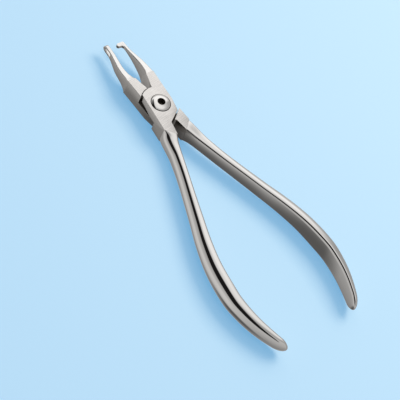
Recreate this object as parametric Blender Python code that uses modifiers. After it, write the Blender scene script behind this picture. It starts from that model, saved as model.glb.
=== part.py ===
"""Orthodontic pliers with a screwed lap joint: two crossing halves and one pivot screw.

One half carries a round-ended peg at the tip of its beak, the other a slot that the peg
enters as the beaks close. Metres, +Z up. The pivot axis is the Z axis, the back of the
joint is z = 0, the beaks point along -X and the handles along +X.
"""
import math

import bmesh
import bpy
from mathutils import Matrix, Vector

MM = 0.001

# Joint block
JOINT_THICKNESS = 8.0 * MM
LAP_CLEARANCE = 0.3 * MM
PLATE_RADIUS = 8.0 * MM
PLATE_GAP = 0.3 * MM
BLOCK_BEVEL = 0.25 * MM
JAW_FLAT_LENGTH = 14.5 * MM
JAW_FLAT_OUTER = 6.4 * MM
JAW_FLAT_INNER = 2.65 * MM
WAIST_OUTER = 5.65 * MM
FLANK_AT_JAW = 4.85 * MM
FLANK_AT_HANDLE = 6.3 * MM
CROTCH_OPENING = math.radians(15.0)
CROTCH_DEPTH = 1.2 * MM

# Shoulder that stops the closing handles
SHOULDER_OUTER_X = 5.7 * MM
SHOULDER_OUTER_Y = 4.5 * MM
SHOULDER_INNER_X = 9.4 * MM
SHOULDER_INNER_Y = -1.25 * MM
SHOULDER_GAP_OUTER = 0.35 * MM
SHOULDER_GAP_INNER = 0.86 * MM

# Pivot screw
HEAD_DIAMETER = 7.8 * MM
HEAD_RIM = 0.95 * MM
HEAD_DOME = 0.6 * MM
HEAD_SINK = 0.8 * MM
HEAD_RADIAL_GAP = 0.15 * MM
SEAT_GAP = 0.3 * MM
SHANK_DIAMETER = 4.8 * MM
SHANK_RADIAL_GAP = 0.15 * MM
SCREW_CHAMFER = 0.3 * MM
SOCKET_ACROSS_FLATS = 2.5 * MM
SOCKET_MOUTH = 1.5 * MM
SOCKET_DEPTH = 2.2 * MM

# Beaks
BEAK_STEP = 0.3 * MM
BEAK_EDGE = 0.45 * MM
SLOT_BEAK_REACH = 34.7 * MM
PADDLE_BREADTH = 2.95 * MM
SLOT_LENGTH = 4.2 * MM
SLOT_WIDTH = 1.77 * MM
SLOT_END_WALL = 0.7 * MM
PEG_IN_SLOT_GAP = 0.45 * MM
PEG_WIDTH = 1.7 * MM
PEG_BREADTH = 1.4 * MM
PEG_END = 1.8 * MM
PEG_FILLET = 0.8 * MM
PEG_BEVEL = 0.28 * MM

# Handles
HANDLE_REACH = 109.2 * MM
HANDLE_ROOT_X = 15.2 * MM
HANDLE_ROOT_INNER = 2.3 * MM
HANDLE_ROOT_OUTER_X = 11.3 * MM
HANDLE_BOW = 22.6 * MM
HANDLE_THICKNESS = 5.2 * MM
HANDLE_BREADTH = 9.9 * MM
HANDLE_EDGE = 0.35 * MM
HANDLE_END_LENGTH = 5.0 * MM
SCOOP_LENGTH = 8.0 * MM

# Shapes, each as (share of the way from root to tip, share of a full size).
# Full size: outer and inner edge and breadth of the jaw flats for a beak, and the bow,
# thickness and breadth for a handle. Squareness is the power of the section's curve:
# 2 is an ellipse and 9 nearly a rectangle.
PEG_BEAK_OUTER = ((0.0, 1.0), (0.2, 1.02), (0.4, 1.01), (0.55, 0.965), (0.75, 0.9), (1.0, 0.86))
PEG_BEAK_INNER = ((0.0, 1.02), (0.08, 1.26), (0.18, 1.43), (0.3, 1.55), (0.5, 1.63), (0.7, 1.62), (1.0, 1.55))
PEG_BEAK_BREADTH = ((0.0, 0.925), (0.08, 0.885), (0.18, 0.775), (0.39, 0.575), (0.5, 0.46), (0.6, 0.365),
                    (0.7, 0.28), (0.81, 0.215), (1.0, 0.178))
SLOT_BEAK_OUTER = ((0.0, 1.0), (0.09, 0.94), (0.27, 0.89), (0.42, 0.84), (0.57, 0.73), (0.7, 0.63),
                   (0.8, 0.59), (1.0, 0.575))
SLOT_BEAK_INNER = ((0.0, 1.0), (0.2, 1.2), (0.38, 1.21), (0.57, 0.98), (0.7, 0.8), (0.82, 0.74), (1.0, 0.717))
SLOT_BEAK_BREADTH = ((0.0, 0.925), (0.08, 0.78), (0.19, 0.645), (0.33, 0.575), (0.5, 0.51), (0.66, 0.405),
                     (0.77, 0.367), (1.0, 0.369))
HANDLE_INNER = ((0.0, 0.102), (0.051, 0.181), (0.157, 0.338), (0.264, 0.5), (0.37, 0.655), (0.477, 0.81),
                (0.583, 0.929), (0.689, 0.991), (0.753, 1.005), (0.849, 0.956), (0.945, 0.84), (1.0, 0.735))
HANDLE_THICK = ((0.0, 0.885), (0.051, 0.79), (0.157, 0.75), (0.264, 0.79), (0.37, 0.865), (0.477, 0.96),
                (0.583, 1.01), (0.689, 1.0), (0.796, 0.85), (0.902, 0.65), (1.0, 0.42))
HANDLE_BROAD = ((0.0, 0.798), (0.024, 0.66), (0.06, 0.63), (0.157, 0.68), (0.264, 0.73), (0.37, 0.77),
                (0.477, 0.84), (0.583, 0.925), (0.689, 1.0), (0.796, 0.95), (0.902, 0.81), (1.0, 0.56))
HANDLE_SQUARENESS = ((0.0, 9.0), (0.051, 7.0), (0.157, 5.0), (0.264, 4.0), (0.37, 2.8), (0.477, 2.15), (0.583, 2.0), (1.0, 2.0))

# Facets
ARC_STEP = math.radians(4.0)
ROUND_SEGMENTS = 64
SECTION_STEPS = 18
BEAK_STATIONS = 20
HANDLE_STATIONS = 40
END_STATIONS = 6

MID_PLANE = JOINT_THICKNESS / 2


def clear_scene():
    for old in list(bpy.data.objects):
        bpy.data.objects.remove(old, do_unlink=True)


def new_collection(name):
    collection = bpy.data.collections.new(name)
    bpy.context.scene.collection.children.link(collection)
    return collection


def steel(name, colour, roughness):
    material = bpy.data.materials.new(name)
    material.use_nodes = True
    shader = material.node_tree.nodes["Principled BSDF"]
    shader.inputs["Base Color"].default_value = (*colour, 1.0)
    shader.inputs["Roughness"].default_value = roughness
    shader.inputs["Metallic"].default_value = 1.0
    return material


def read_shape(shape, share):
    """Smooth value of a shape at a share of the way from its root to its tip."""
    share = min(max(share, 0.0), 1.0)
    index = 0
    while index < len(shape) - 2 and share > shape[index + 1][0]:
        index += 1
    start = shape[index]
    end = shape[index + 1]
    span = end[0] - start[0]
    part = (share - start[0]) / span
    before = shape_slope(shape, index) * span
    after = shape_slope(shape, index + 1) * span
    rise = part * part * (3 - 2 * part)
    bend = before * part * (1 - part) ** 2 - after * part * part * (1 - part)
    return start[1] + (end[1] - start[1]) * rise + bend


def shape_slope(shape, index):
    """Slope at a point of a shape, taken through its two neighbours."""
    before = shape[max(index - 1, 0)]
    after = shape[min(index + 1, len(shape) - 1)]
    return (after[1] - before[1]) / (after[0] - before[0])


def new_object(name, mesh, collection):
    piece = bpy.data.objects.new(name, mesh)
    collection.objects.link(piece)
    return piece


def loft(name, rings, collection):
    """Closed skin through rings of equal length, capped at both ends."""
    shape = bmesh.new()
    rows = [[shape.verts.new(point) for point in ring] for ring in rings]
    count = len(rings[0])
    for row, following in zip(rows, rows[1:]):
        for i in range(count):
            j = (i + 1) % count
            shape.faces.new((row[i], row[j], following[j], following[i]))
    shape.faces.new(rows[0])
    shape.faces.new(rows[-1])
    bmesh.ops.recalc_face_normals(shape, faces=shape.faces)
    if shape.calc_volume(signed=True) < 0:
        bmesh.ops.reverse_faces(shape, faces=shape.faces)
    mesh = bpy.data.meshes.new(name)
    shape.to_mesh(mesh)
    shape.free()
    return new_object(name, mesh, collection)


def plate(name, outline, low, high, collection):
    """Flat plate of an outline in X and Y, from the height low to the height high."""
    curve = bpy.data.curves.new(name, "CURVE")
    curve.dimensions = "2D"
    curve.fill_mode = "BOTH"
    curve.extrude = (high - low) / 2
    spline = curve.splines.new("POLY")
    spline.points.add(len(outline) - 1)
    for point, place in zip(spline.points, outline):
        point.co = (place[0], place[1], 0.0, 1.0)
    spline.use_cyclic_u = True
    source = new_object(name + "_curve", curve, collection)
    source.location.z = (low + high) / 2
    bpy.context.view_layer.update()
    mesh = bpy.data.meshes.new_from_object(source.evaluated_get(bpy.context.evaluated_depsgraph_get()))
    mesh.transform(source.matrix_world)
    bpy.data.objects.remove(source, do_unlink=True)
    shape = bmesh.new()
    shape.from_mesh(mesh)
    bmesh.ops.remove_doubles(shape, verts=shape.verts, dist=0.001 * MM)
    bmesh.ops.dissolve_limit(shape, angle_limit=0.001, verts=shape.verts, edges=shape.edges)
    bmesh.ops.recalc_face_normals(shape, faces=shape.faces)
    shape.to_mesh(mesh)
    shape.free()
    return new_object(name, mesh, collection)


def turned(name, profile, collection):
    """Solid of revolution about Z of a profile that runs from top to bottom."""
    shape = bmesh.new()
    points = [shape.verts.new((radius, 0.0, height)) for radius, height in profile]
    for start, end in zip(points, points[1:]):
        shape.edges.new((start, end))
    mesh = bpy.data.meshes.new(name)
    shape.to_mesh(mesh)
    shape.free()
    piece = new_object(name, mesh, collection)
    screw = piece.modifiers.new("turn", "SCREW")
    screw.steps = ROUND_SEGMENTS
    screw.render_steps = ROUND_SEGMENTS
    screw.use_merge_vertices = True
    screw.merge_threshold = 0.001 * MM
    return piece


def combine(piece, other, operation, hidden):
    """Boolean of two objects, which keeps the other as a hidden guide beside the piece."""
    boolean = piece.modifiers.new(other.name, "BOOLEAN")
    boolean.operation = operation
    boolean.solver = "EXACT"
    boolean.object = other
    other.hide_render = True
    other.display_type = "WIRE"
    if other.name not in hidden.objects:
        hidden.objects.link(other)
    other.parent = piece


def arc(radius, start, end, centre=(0.0, 0.0)):
    steps = max(2, math.ceil(abs(end - start) / ARC_STEP))
    angles = [start + (end - start) * i / steps for i in range(steps + 1)]
    return [(centre[0] + radius * math.cos(a), centre[1] + radius * math.sin(a)) for a in angles]


def shoulder_line(sign, gap_outer=0.0, gap_inner=0.0):
    """The two ends of the shoulder, moved off the plate by a gap at each end."""
    outer_end = Vector((SHOULDER_OUTER_X, SHOULDER_OUTER_Y))
    inner_end = Vector((SHOULDER_INNER_X, SHOULDER_INNER_Y))
    along = (inner_end - outer_end).normalized()
    off = Vector((-along.y, along.x))
    outer = outer_end + off * gap_outer
    inner = inner_end + off * gap_inner
    return [(outer.x, sign * outer.y), (inner.x, sign * inner.y)]


def block_outline():
    """Plan of one half's joint block: the beak lies at +Y and the handle at -Y."""
    flank_start = math.pi + math.asin(FLANK_AT_JAW / PLATE_RADIUS)
    crotch = math.pi - CROTCH_OPENING / 2
    crotch_radius = PLATE_RADIUS + CROTCH_DEPTH
    return [
        (-JAW_FLAT_LENGTH, JAW_FLAT_OUTER),
        (-PLATE_RADIUS, (JAW_FLAT_OUTER + WAIST_OUTER) / 2),
        (0.0, WAIST_OUTER),
        *shoulder_line(1),
        (HANDLE_ROOT_X, -HANDLE_ROOT_INNER),
        (HANDLE_ROOT_OUTER_X, -FLANK_AT_HANDLE),
        *reversed(arc(PLATE_RADIUS, crotch, flank_start)),
        (crotch_radius * math.cos(crotch), crotch_radius * math.sin(crotch)),
        (-(PLATE_RADIUS + JAW_FLAT_LENGTH) / 2, (JAW_FLAT_INNER + CROTCH_DEPTH) / 2),
        (-JAW_FLAT_LENGTH, JAW_FLAT_INNER),
    ]


def lap_outline():
    """Space that the other half's plate needs below this half's plate."""
    reach = PLATE_RADIUS + PLATE_GAP
    beyond = JAW_FLAT_OUTER * 2
    side = math.radians(100.0)
    shoulder = shoulder_line(-1, SHOULDER_GAP_OUTER, SHOULDER_GAP_INNER)
    along = (Vector(shoulder[0]) - Vector(shoulder[1])).normalized()
    far_outer = Vector(shoulder[0]) + along * JAW_FLAT_OUTER
    far_inner = Vector(shoulder[1]) - along * JAW_FLAT_OUTER
    return [
        *arc(reach, side, 2 * math.pi - side),
        (reach * math.cos(side), -beyond),
        (far_outer.x, far_outer.y - beyond),
        tuple(far_outer),
        tuple(far_inner),
        (far_inner.x, beyond),
        (reach * math.cos(side), beyond),
    ]


def beak_ring(distance, outer, inner, breadth):
    """Section of a beak, a rectangle with cut edges, at a distance from the pivot."""
    edge = min(BEAK_EDGE, breadth * 0.3, (outer - inner) * 0.3)
    half = breadth / 2
    corners = [
        (outer, half - edge), (outer - edge, half),
        (inner + edge, half), (inner, half - edge),
        (inner, edge - half), (inner + edge, -half),
        (outer - edge, -half), (outer, edge - half),
    ]
    return [(-distance, y, MID_PLANE + z) for y, z in corners]


def beak_rings(reach, outer_shape, inner_shape, breadth_shape, end):
    """Sections from inside the joint block out to a distance called end."""
    start = JAW_FLAT_LENGTH - 2 * BEAK_STEP
    rings = []
    for i in range(BEAK_STATIONS + 1):
        distance = start + (end - start) * i / BEAK_STATIONS
        share = (distance - JAW_FLAT_LENGTH) / (reach - JAW_FLAT_LENGTH)
        outer = JAW_FLAT_OUTER * read_shape(outer_shape, share)
        inner = JAW_FLAT_INNER * read_shape(inner_shape, share)
        breadth = JOINT_THICKNESS * read_shape(breadth_shape, share)
        rings.append(beak_ring(distance, outer, inner, breadth))
    return rings


def peg_beak_reach():
    """The peg's outer side stays clear of the slot's end as it enters the slot."""
    return SLOT_BEAK_REACH - SLOT_END_WALL - PEG_IN_SLOT_GAP


def peg_beak(collection):
    reach = peg_beak_reach()
    shapes = (PEG_BEAK_OUTER, PEG_BEAK_INNER, PEG_BEAK_BREADTH)
    return loft("peg_beak", beak_rings(reach, *shapes, reach - BEAK_EDGE), collection)


def peg(collection):
    """The peg stands square to the beak, with a round end and a fillet in its corner."""
    reach = peg_beak_reach()
    radius = PEG_WIDTH / 2
    outer = JAW_FLAT_OUTER * PEG_BEAK_OUTER[-1][1]
    inner = JAW_FLAT_INNER * PEG_BEAK_INNER[-1][1]
    centre = (radius - reach, PEG_END + radius)
    fillet_centre = (PEG_WIDTH + PEG_FILLET - reach, inner - PEG_FILLET)
    cover = (outer + inner) / 2
    outline = [
        (BEAK_EDGE - reach, outer - PEG_BEVEL / 2),
        (-reach, outer - BEAK_EDGE),
        *arc(radius, math.pi, 2 * math.pi, centre),
        *arc(PEG_FILLET, math.pi, math.pi / 2, fillet_centre),
        (fillet_centre[0], cover),
        (PEG_WIDTH - reach, outer - PEG_BEVEL / 2),
    ]
    low = MID_PLANE - PEG_BREADTH / 2
    piece = plate("peg", outline, low, low + PEG_BREADTH, collection)
    round_edges(piece, PEG_BEVEL, 2, math.radians(60.0))
    return piece


def slot_beak(collection):
    """The beak ends in a round-ended paddle for the slot."""
    half = PADDLE_BREADTH / 2
    centre = SLOT_BEAK_REACH - half
    rings = beak_rings(SLOT_BEAK_REACH, SLOT_BEAK_OUTER, SLOT_BEAK_INNER, SLOT_BEAK_BREADTH, centre)
    outer = JAW_FLAT_OUTER * SLOT_BEAK_OUTER[-1][1]
    inner = JAW_FLAT_INNER * SLOT_BEAK_INNER[-1][1]
    for i in range(1, END_STATIONS):
        turn = math.radians(84.0) * i / (END_STATIONS - 1)
        rings.append(beak_ring(centre + half * math.sin(turn), outer, inner, PADDLE_BREADTH * math.cos(turn)))
    return loft("slot_beak", rings, collection)


def slot(collection):
    """Round-ended slot, laid out in X and Y and then turned to run through the beak."""
    radius = SLOT_WIDTH / 2
    left = -SLOT_BEAK_REACH + SLOT_END_WALL + radius
    right = left + SLOT_LENGTH - SLOT_WIDTH
    outline = arc(radius, math.pi / 2, 1.5 * math.pi, (left, 0.0))
    outline += arc(radius, -math.pi / 2, math.pi / 2, (right, 0.0))
    piece = plate("slot", outline, 0.0, 2 * JAW_FLAT_OUTER, collection)
    piece.data.transform(Matrix.Translation((0, 0, MID_PLANE)) @ Matrix.Rotation(-math.pi / 2, 4, "X"))
    return piece


def grip_ring(inner, outer, breadth, squareness):
    """D section of a handle: flat inside with cut edges, and a crowned outside."""
    half = breadth / 2
    thickness = (outer - inner).length
    edge = min(HANDLE_EDGE, half * 0.4, thickness * 0.4)
    points = [(edge, 1.0)]
    for i in range(1, SECTION_STEPS):
        angle = math.pi * i / SECTION_STEPS
        out = edge + (thickness - edge) * math.sin(angle) ** (2 / squareness)
        across = math.copysign(abs(math.cos(angle)) ** (2 / squareness), math.cos(angle))
        points.append((out, across))
    points.append((edge, -1.0))
    flat = 1 - edge / half
    points += [(0.0, -flat), (0.0, flat)]
    direction = (outer - inner).normalized()
    ring = []
    for out, across in points:
        place = inner + direction * out
        ring.append((place.x, -place.y, MID_PLANE + across * half))
    return ring


def handle_share(distance):
    return (distance - HANDLE_ROOT_X) / (HANDLE_REACH - HANDLE_ROOT_X)


def handle_inner(distance):
    """Inner edge of a handle in plan, which runs on straight past its ends."""
    share = handle_share(distance)
    inside = min(max(share, 0.0), 1.0)
    slope = shape_slope(HANDLE_INNER, 0 if share < 0.5 else len(HANDLE_INNER) - 1)
    return HANDLE_BOW * (read_shape(HANDLE_INNER, inside) + slope * (share - inside))


def handle_edges(distance):
    """Inner and outer edge of a handle in plan, seen as if the handle lay at +Y."""
    inner = Vector((distance, handle_inner(distance)))
    step = HANDLE_END_LENGTH / 8
    slope = (handle_inner(distance + step) - handle_inner(distance - step)) / (2 * step)
    thickness = HANDLE_THICKNESS * read_shape(HANDLE_THICK, handle_share(distance))
    square = Vector((-slope, 1.0)).normalized() * thickness
    root = Vector((HANDLE_ROOT_OUTER_X - HANDLE_ROOT_X, FLANK_AT_HANDLE - HANDLE_ROOT_INNER))
    part = min((distance - HANDLE_ROOT_X) / SCOOP_LENGTH, 1.0)
    blend = part * part * (3 - 2 * part)
    return inner, inner + root * (1 - blend) + square * blend


def handle_ring(distance, share=1.0, shift=0.0):
    """Section of a handle, narrowed to a share of its size about its middle."""
    along = handle_share(distance)
    inner, outer = handle_edges(distance)
    middle = (inner + outer) / 2
    inner = middle + (inner - middle) * share + Vector((shift, 0.0))
    outer = middle + (outer - middle) * share + Vector((shift, 0.0))
    breadth = HANDLE_BREADTH * read_shape(HANDLE_BROAD, along) * share
    return grip_ring(inner, outer, breadth, read_shape(HANDLE_SQUARENESS, along))


def handle(collection):
    """Handle from the scoop behind the joint block to its round end."""
    straight = HANDLE_REACH - HANDLE_END_LENGTH
    rings = [handle_ring(HANDLE_ROOT_X, shift=-2 * BEAK_STEP)]
    for i in range(HANDLE_STATIONS + 1):
        part = i / HANDLE_STATIONS
        rings.append(handle_ring(HANDLE_ROOT_X + (straight - HANDLE_ROOT_X) * part * (0.45 + 0.55 * part)))
    for i in range(1, END_STATIONS + 1):
        turn = math.radians(86.0) * i / END_STATIONS
        rings.append(handle_ring(straight + HANDLE_END_LENGTH * math.sin(turn), math.cos(turn)))
    return loft("handle", rings, collection)


def round_edges(piece, width, segments, angle):
    bevel = piece.modifiers.new("edge", "BEVEL")
    bevel.width = width
    bevel.segments = segments
    bevel.limit_method = "ANGLE"
    bevel.angle_limit = angle
    bevel.use_clamp_overlap = True


def half(name, beak_parts, cutters, collection, hidden, material):
    """One forging: joint block, beak and handle, cut to half thickness at the lap."""
    piece = plate(name, block_outline(), 0.0, JOINT_THICKNESS, collection)
    piece.data.materials.append(material)
    round_edges(piece, BLOCK_BEVEL, 2, math.radians(50.0))
    for part in (handle(hidden), *[make(hidden) for make in beak_parts]):
        combine(piece, part, "UNION", hidden)
    lap_top = MID_PLANE + LAP_CLEARANCE / 2
    lap = plate("lap", lap_outline(), -JOINT_THICKNESS, lap_top, hidden)
    combine(piece, lap, "DIFFERENCE", hidden)
    for make in cutters:
        combine(piece, make(hidden), "DIFFERENCE", hidden)
    shade(piece)
    return piece


def bore(hidden):
    """Hole for the shank, through the plate."""
    radius = SHANK_DIAMETER / 2 + SHANK_RADIAL_GAP
    top = 2 * JOINT_THICKNESS
    return turned("bore", [(0, top), (radius, top), (radius, -top), (0, -top)], hidden)


def head_seat(hidden):
    """Shallow round seat for the screw's head in the front plate."""
    radius = HEAD_DIAMETER / 2 + HEAD_RADIAL_GAP
    top = 2 * JOINT_THICKNESS
    floor = JOINT_THICKNESS - HEAD_SINK
    return turned("head_seat", [(0, top), (radius, top), (radius, floor), (0, floor)], hidden)


def pivot_screw(collection, hidden, material):
    """Domed screw: its head sits in the front plate and its end is flush at the back."""
    head = HEAD_DIAMETER / 2
    shank = SHANK_DIAMETER / 2
    under = JOINT_THICKNESS - HEAD_SINK + SEAT_GAP
    rim = under + HEAD_RIM
    dome_steps = 6
    dome_radius = (head * head + HEAD_DOME * HEAD_DOME) / (2 * HEAD_DOME)
    profile = []
    for i in range(dome_steps + 1):
        radius = head * i / dome_steps
        sag = dome_radius - math.sqrt(dome_radius * dome_radius - radius * radius)
        profile.append((radius, rim + HEAD_DOME - sag))
    profile += [(head, under), (shank, under), (shank, SCREW_CHAMFER)]
    profile += [(shank - SCREW_CHAMFER, 0.0), (0.0, 0.0)]
    piece = turned("pivot_screw", profile, collection)
    piece.data.materials.append(material)
    top = rim + HEAD_DOME
    flats = SOCKET_ACROSS_FLATS / 2 / math.cos(math.pi / 6)
    corners = [(flats * math.cos(i * math.pi / 3), flats * math.sin(i * math.pi / 3)) for i in range(6)]
    socket = plate("socket", corners, top - SOCKET_DEPTH, top + HEAD_DOME, hidden)
    combine(piece, socket, "DIFFERENCE", hidden)
    mouth_top = top + HEAD_DOME
    mouth_profile = [(0, mouth_top), (SOCKET_MOUTH + HEAD_DOME * 2, mouth_top),
                     (SOCKET_MOUTH - HEAD_DOME, top - HEAD_DOME), (0, top - HEAD_DOME)]
    combine(piece, turned("socket_mouth", mouth_profile, hidden), "DIFFERENCE", hidden)
    shade(piece)
    return piece


def shade(piece):
    smooth = piece.modifiers.new("smooth", "WELD")
    smooth.merge_threshold = 0.0005 * MM
    piece.data.shade_smooth()


def build():
    clear_scene()
    pliers = new_collection("orthodontic_pliers")
    hidden = new_collection("cutters_and_guides")
    satin = steel("satin_steel", (0.62, 0.60, 0.58), 0.28)
    polished = steel("polished_steel", (0.78, 0.77, 0.76), 0.12)
    half("peg_half", (peg_beak, peg), (bore, head_seat), pliers, hidden, satin)
    slotted = half("slot_half", (slot_beak,), (bore, slot), pliers, hidden, satin)
    slotted.rotation_euler.x = math.pi
    slotted.location.z = JOINT_THICKNESS
    pivot_screw(pliers, hidden, polished)


build()
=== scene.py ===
"""Orthodontic pliers: the finished look of their two halves and their pivot screw."""
import math

import bmesh
import bpy
from mathutils import Matrix, Vector


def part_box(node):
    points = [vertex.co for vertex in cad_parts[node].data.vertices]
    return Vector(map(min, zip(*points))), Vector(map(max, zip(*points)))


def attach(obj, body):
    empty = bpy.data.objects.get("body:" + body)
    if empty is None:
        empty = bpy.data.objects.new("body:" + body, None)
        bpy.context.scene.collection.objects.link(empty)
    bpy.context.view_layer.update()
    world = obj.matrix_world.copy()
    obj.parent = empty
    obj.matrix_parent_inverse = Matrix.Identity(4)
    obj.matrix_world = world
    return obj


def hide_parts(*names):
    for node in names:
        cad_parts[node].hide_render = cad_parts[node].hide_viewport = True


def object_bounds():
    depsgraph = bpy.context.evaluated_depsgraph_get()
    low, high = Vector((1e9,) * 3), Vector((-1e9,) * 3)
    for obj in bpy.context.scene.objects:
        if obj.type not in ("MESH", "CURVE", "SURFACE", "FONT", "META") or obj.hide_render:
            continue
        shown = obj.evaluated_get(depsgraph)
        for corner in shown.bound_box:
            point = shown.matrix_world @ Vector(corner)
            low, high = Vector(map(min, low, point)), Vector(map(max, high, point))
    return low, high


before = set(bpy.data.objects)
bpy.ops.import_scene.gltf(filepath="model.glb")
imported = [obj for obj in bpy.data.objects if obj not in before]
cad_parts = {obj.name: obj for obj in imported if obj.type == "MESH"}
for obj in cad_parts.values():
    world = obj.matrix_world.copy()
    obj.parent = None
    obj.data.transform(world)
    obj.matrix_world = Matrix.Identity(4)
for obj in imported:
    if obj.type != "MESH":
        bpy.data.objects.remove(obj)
cad_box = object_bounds()

# Slot half: the rear one of two steel forgings of one blank, ground flat at the joint and cut
# to half thickness where the halves cross. Its beak flattens into a round-ended paddle, and a
# slot is milled through that.

MM = 0.001
JOINT_THICKNESS = 8.0 * MM
MID_PLANE = JOINT_THICKNESS / 2
LAP_CLEARANCE = 0.3 * MM
PLATE_RADIUS = 8.0 * MM
PLATE_GAP = 0.3 * MM
JAW_FLAT_LENGTH = 14.5 * MM
JAW_FLAT_OUTER = 6.4 * MM
JAW_FLAT_INNER = 2.65 * MM
WAIST_OUTER = 5.65 * MM
FLANK_AT_JAW = 4.85 * MM
FLANK_AT_HANDLE = 6.3 * MM
CROTCH_OPENING = math.radians(15.0)
CROTCH_DEPTH = 1.2 * MM
EDGE_BREAK = 0.16 * MM
SHOULDER_OUTER_X = 5.7 * MM
SHOULDER_OUTER_Y = 4.5 * MM
SHOULDER_INNER_X = 9.4 * MM
SHOULDER_INNER_Y = -1.25 * MM
SHOULDER_GAP_OUTER = 0.35 * MM
SHOULDER_GAP_INNER = 0.86 * MM
BEAK_STEP = 0.3 * MM
BEAK_EDGE = 0.45 * MM
BEAK_EDGE_SHARE = 0.3
SLOT_BEAK_REACH = -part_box("slot_half")[0].x
PADDLE_BREADTH = 2.95 * MM
SLOT_LENGTH = 4.2 * MM
SLOT_WIDTH = 1.77 * MM
SLOT_END_WALL = 0.7 * MM
SLOT_EDGE = 0.12 * MM
HANDLE_REACH = 109.2 * MM
HANDLE_ROOT_X = 15.2 * MM
HANDLE_ROOT_INNER = 2.3 * MM
HANDLE_ROOT_OUTER_X = 11.3 * MM
HANDLE_BOW = 22.6 * MM
HANDLE_THICKNESS = 5.2 * MM
HANDLE_BREADTH = 9.9 * MM
HANDLE_EDGE = 0.65 * MM
HANDLE_EDGE_SHARE = 0.4
EDGE_FULLNESS = 1.3
INSIDE_CROWN = 0.11 * MM
HANDLE_END_LENGTH = 4.0 * MM
SCOOP_LENGTH = 8.0 * MM

# Squareness of a handle's section, where 2 is an ellipse and more is squarer, and the lengths
# over which its front and its back ease from the root's squareness to the grip's.
HANDLE_SQUARENESS = 2.05
ROOT_SQUARENESS = 9.0
FRONT_FADE = 0.5 * MM
BACK_FADE = 7.5 * MM

# Shapes, each as (share of the way from root to tip, share of a full size): the jaw flats
# for a beak, the bow, thickness and breadth for a handle, and the depth of its back half.
SLOT_BEAK_OUTER = ((0.0, 1.0), (0.09, 0.94), (0.27, 0.89), (0.42, 0.84), (0.57, 0.73), (0.7, 0.63),
                   (0.8, 0.59), (1.0, 0.575))
SLOT_BEAK_INNER = ((0.0, 1.0), (0.2, 1.2), (0.38, 1.21), (0.57, 0.98), (0.7, 0.8), (0.82, 0.74), (1.0, 0.717))
SLOT_BEAK_BREADTH = ((0.0, 0.925), (0.08, 0.78), (0.19, 0.645), (0.33, 0.575), (0.5, 0.51), (0.66, 0.405),
                     (0.77, 0.367), (1.0, 0.369))
HANDLE_INNER = ((0.0, 0.102), (0.051, 0.181), (0.157, 0.338), (0.264, 0.5), (0.37, 0.655), (0.477, 0.81),
                (0.583, 0.929), (0.689, 0.991), (0.753, 1.005), (0.849, 0.956), (0.945, 0.84), (1.0, 0.735))
HANDLE_THICK = ((0.0, 0.885), (0.051, 0.79), (0.157, 0.75), (0.264, 0.79), (0.37, 0.865), (0.477, 0.96),
                (0.583, 1.01), (0.689, 1.0), (0.796, 0.85), (0.902, 0.65), (1.0, 0.43))
HANDLE_BROAD = ((0.0, 0.798), (0.024, 0.66), (0.06, 0.63), (0.157, 0.68), (0.264, 0.73), (0.37, 0.77),
                (0.477, 0.84), (0.583, 0.925), (0.689, 1.0), (0.796, 0.97), (0.902, 0.88), (1.0, 0.7))
HANDLE_BACK = ((0.0, 1.0), (0.024, 1.17), (0.06, 1.14), (0.157, 1.05), (0.264, 1.0), (1.0, 1.0))

# Fineness of the meshes
MERGE_DISTANCE = 0.001 * MM
ROUND_SEGMENTS = 128
ARC_STEP = math.radians(3.0)
CORNER_STEP = math.radians(20.0)
SHARP_ANGLE = math.radians(28.0)


def read_shape(shape, share):
    """Smooth value of a shape at a share of the way from its root to its tip."""
    share = min(max(share, 0.0), 1.0)
    index = 0
    while index < len(shape) - 2 and share > shape[index + 1][0]:
        index += 1
    start = shape[index]
    end = shape[index + 1]
    span = end[0] - start[0]
    part = (share - start[0]) / span
    before = shape_slope(shape, index) * span
    after = shape_slope(shape, index + 1) * span
    rise = part * part * (3 - 2 * part)
    bend = before * part * (1 - part) ** 2 - after * part * part * (1 - part)
    return start[1] + (end[1] - start[1]) * rise + bend


def shape_slope(shape, index):
    """Slope at a point of a shape, taken through its two neighbours."""
    before = shape[max(index - 1, 0)]
    after = shape[min(index + 1, len(shape) - 1)]
    return (after[1] - before[1]) / (after[0] - before[0])


def new_piece(name, mesh):
    piece = bpy.data.objects.new(name, mesh)
    bpy.context.scene.collection.objects.link(piece)
    return piece


def piece_from(shape, name):
    bmesh.ops.recalc_face_normals(shape, faces=shape.faces)
    if shape.calc_volume(signed=True) < 0:
        bmesh.ops.reverse_faces(shape, faces=shape.faces)
    mesh = bpy.data.meshes.new(name)
    shape.to_mesh(mesh)
    shape.free()
    return new_piece(name, mesh)


def loft(name, rings):
    """Closed skin through rings of equal length."""
    shape = bmesh.new()
    rows = [[shape.verts.new(point) for point in ring] for ring in rings]
    count = len(rings[0])
    for row, following in zip(rows, rows[1:]):
        for i in range(count):
            j = (i + 1) % count
            shape.faces.new((row[i], row[j], following[j], following[i]))
    shape.faces.new(rows[0])
    shape.faces.new(rows[-1])
    return piece_from(shape, name)


def plate(name, outline, low, high):
    """Flat plate of an outline in X and Y."""
    shape = bmesh.new()
    bottom = [shape.verts.new((x, y, low)) for x, y in outline]
    top = [shape.verts.new((x, y, high)) for x, y in outline]
    shape.faces.new(bottom)
    shape.faces.new(top)
    for i in range(len(outline)):
        j = (i + 1) % len(outline)
        shape.faces.new((bottom[i], bottom[j], top[j], top[i]))
    return piece_from(shape, name)


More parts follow.
